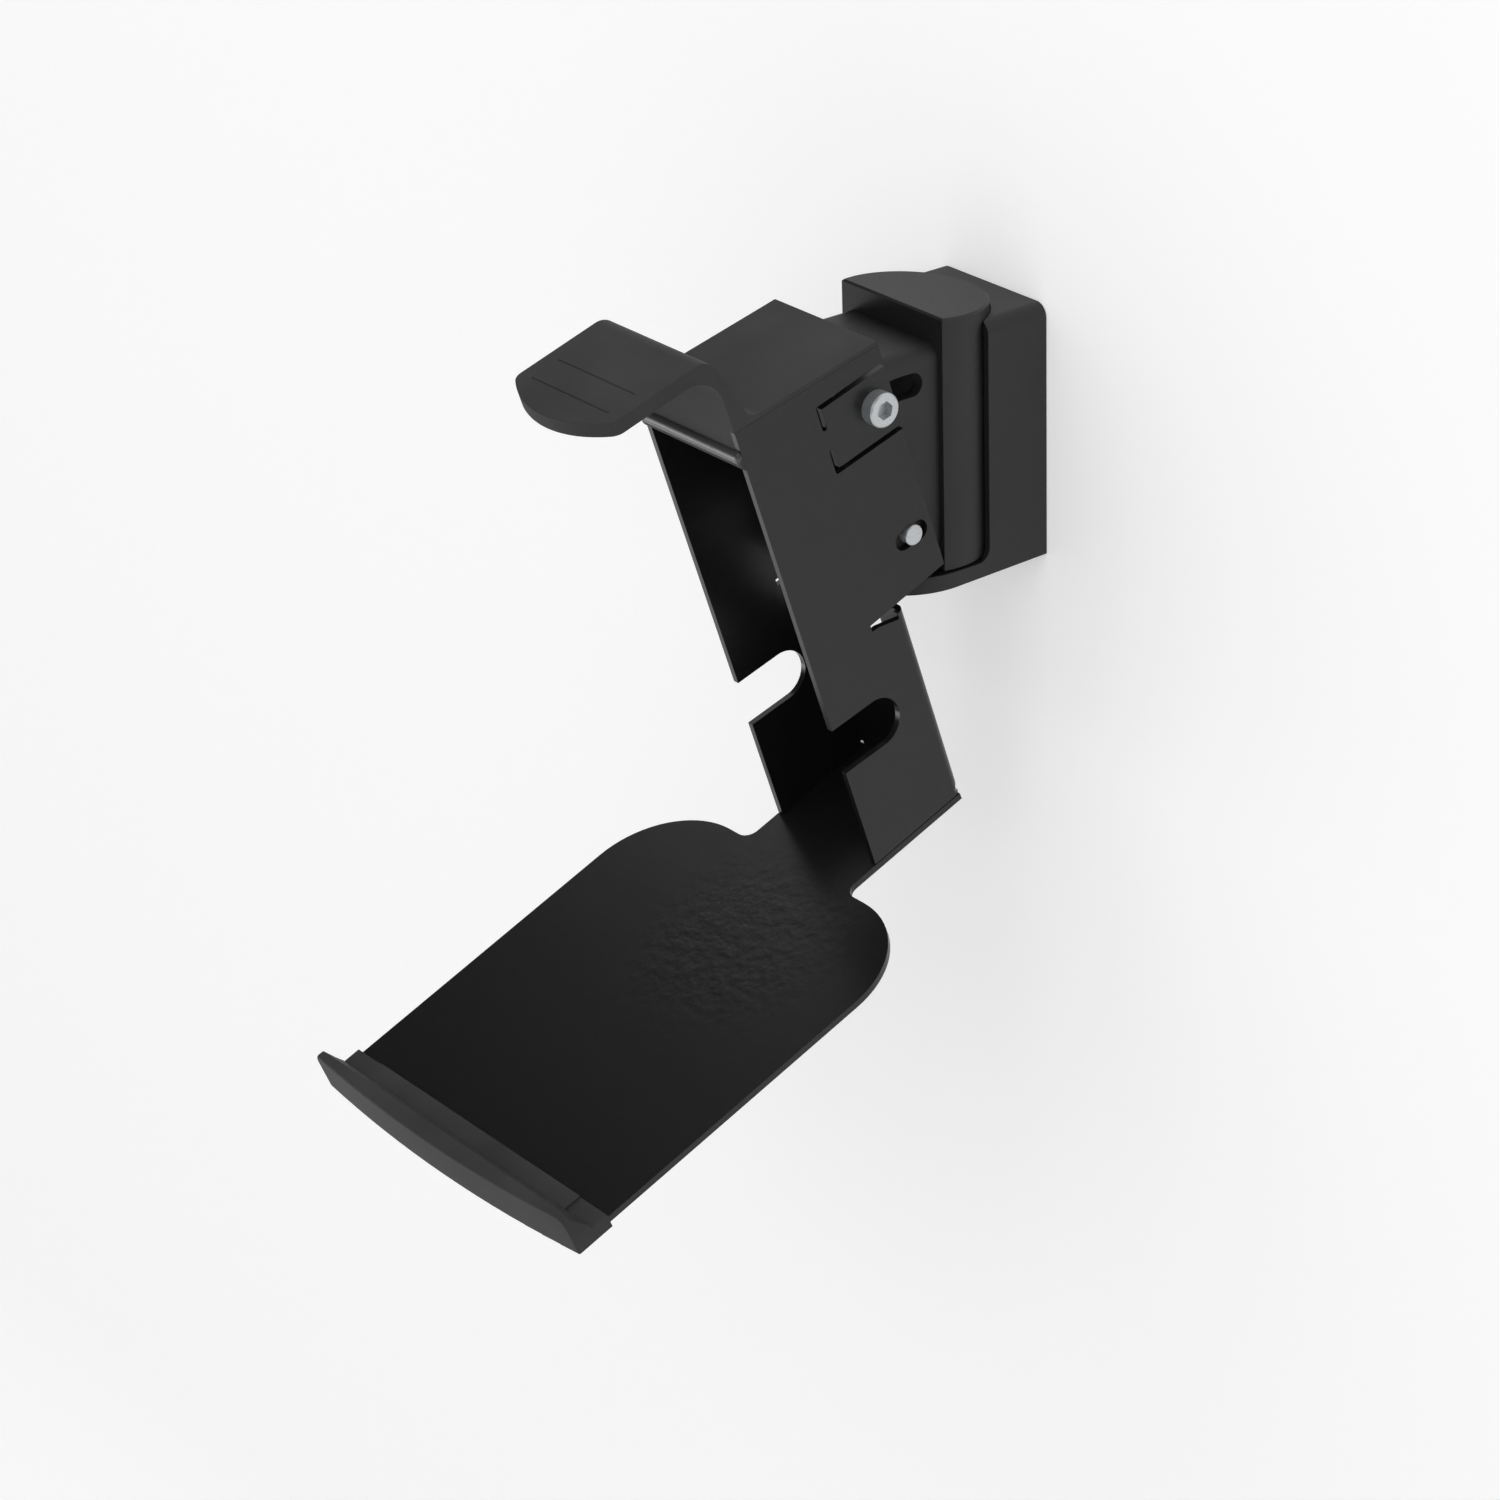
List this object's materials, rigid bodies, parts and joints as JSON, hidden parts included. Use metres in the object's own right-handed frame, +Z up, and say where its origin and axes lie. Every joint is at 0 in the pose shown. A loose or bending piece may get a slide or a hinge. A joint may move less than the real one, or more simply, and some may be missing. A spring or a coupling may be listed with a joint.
{
  "type": "speaker wall bracket",
  "caption": "Black speaker wall bracket: wall housing, swivelling drum with tilt arm, and a folded steel plate with a tray, front lip and top thumb rest.",
  "frame": {"origin": "on the wall plane, midway across and halfway up the wall housing", "axes": "+X to the right facing the wall, +Y into the wall, +Z up"},
  "size_m": [0.1212, 0.2079, 0.2265],
  "materials": {
    "black_powder_coat": "satin powder coat",
    "black_casting": "satin",
    "black_moulding": "fine matt texture",
    "zinc_steel": "bright zinc plated"
  },
  "bodies": {
    "wall": {"wall_plate": "zinc_steel", "wall_housing": "black_moulding", "plate_screw_left": "zinc_steel", "plate_screw_right": "zinc_steel", "swivel_bolt": "zinc_steel", "swivel_bolt_washer": "zinc_steel"},
    "swivel": {"swivel_drum": "black_casting", "tilt_arm": "black_casting", "arm_screw_left": "zinc_steel", "arm_screw_right": "zinc_steel", "arm_screw_upper": "zinc_steel", "pivot_pin": "zinc_steel"},
    "bracket": {"bracket_plate": "black_powder_coat", "top_cap": "black_moulding", "lip_cap": "black_moulding", "clamp_screw_left": "zinc_steel", "clamp_screw_right": "zinc_steel", "clamp_washer_left": "zinc_steel", "clamp_washer_right": "zinc_steel", "clamp_nut_left": "zinc_steel", "clamp_nut_right": "zinc_steel"}
  },
  "joints": [
    {"name": "swivel", "type": "hinge", "parent": "wall", "child": "swivel", "pos_m": [0, -0.031, 0], "axis": [0, 0, 1], "range_deg": [-30, 30]},
    {"name": "tilt", "type": "hinge", "parent": "swivel", "child": "bracket", "pos_m": [0, -0.04897, -0.0183], "axis": [1, 0, 0], "range_deg": [-19.5, 0]}
  ]
}
